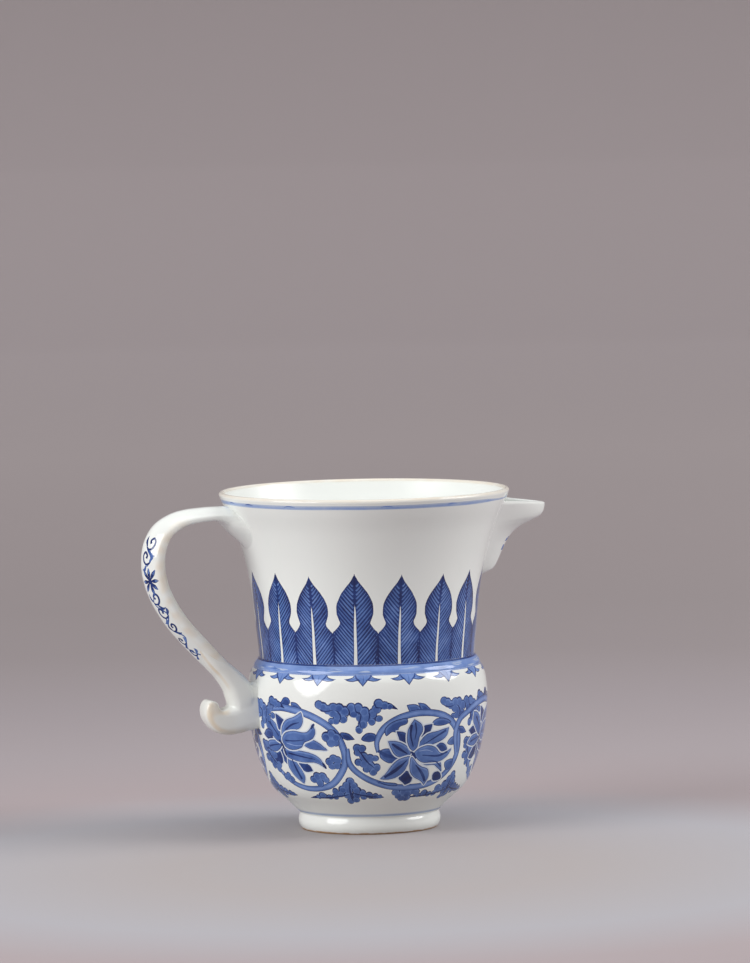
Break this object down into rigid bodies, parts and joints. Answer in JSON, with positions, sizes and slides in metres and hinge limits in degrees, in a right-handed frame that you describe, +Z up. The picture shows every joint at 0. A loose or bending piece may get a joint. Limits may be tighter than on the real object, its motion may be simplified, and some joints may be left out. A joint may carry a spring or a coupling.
{
  "type": "cream jug",
  "caption": "Small bell-mouthed porcelain cream jug with a round bowl on a foot ring, a beak spout and a strap handle ending in a curl.",
  "frame": {"origin": "centre of the foot ring, in the plane it stands on", "axes": "+Z up along the axis of the pot, +X towards the tip of the spout, -X towards the handle, +Y across"},
  "size_m": [0.1304, 0.0902, 0.1053],
  "materials": {
    "painted_glaze": "glossy clear glaze over cobalt blue painting",
    "glaze": "glossy clear glaze, faintly green where it is thick",
    "glazed_foot": "glossy clear glaze, with a bare orange edge where it stands",
    "slip": "fired slip under the same clear glaze"
  },
  "bodies": {
    "root": {"foot_ring": "glazed_foot", "foot_lute": "slip", "bowl": "painted_glaze", "waist_lute": "painted_glaze", "neck": "painted_glaze", "spout": "glaze", "spout_lute": "slip", "handle_strap": "painted_glaze", "handle_curl": "glaze", "handle_upper_lute": "slip", "handle_lower_lute": "slip"}
  },
  "joints": []
}
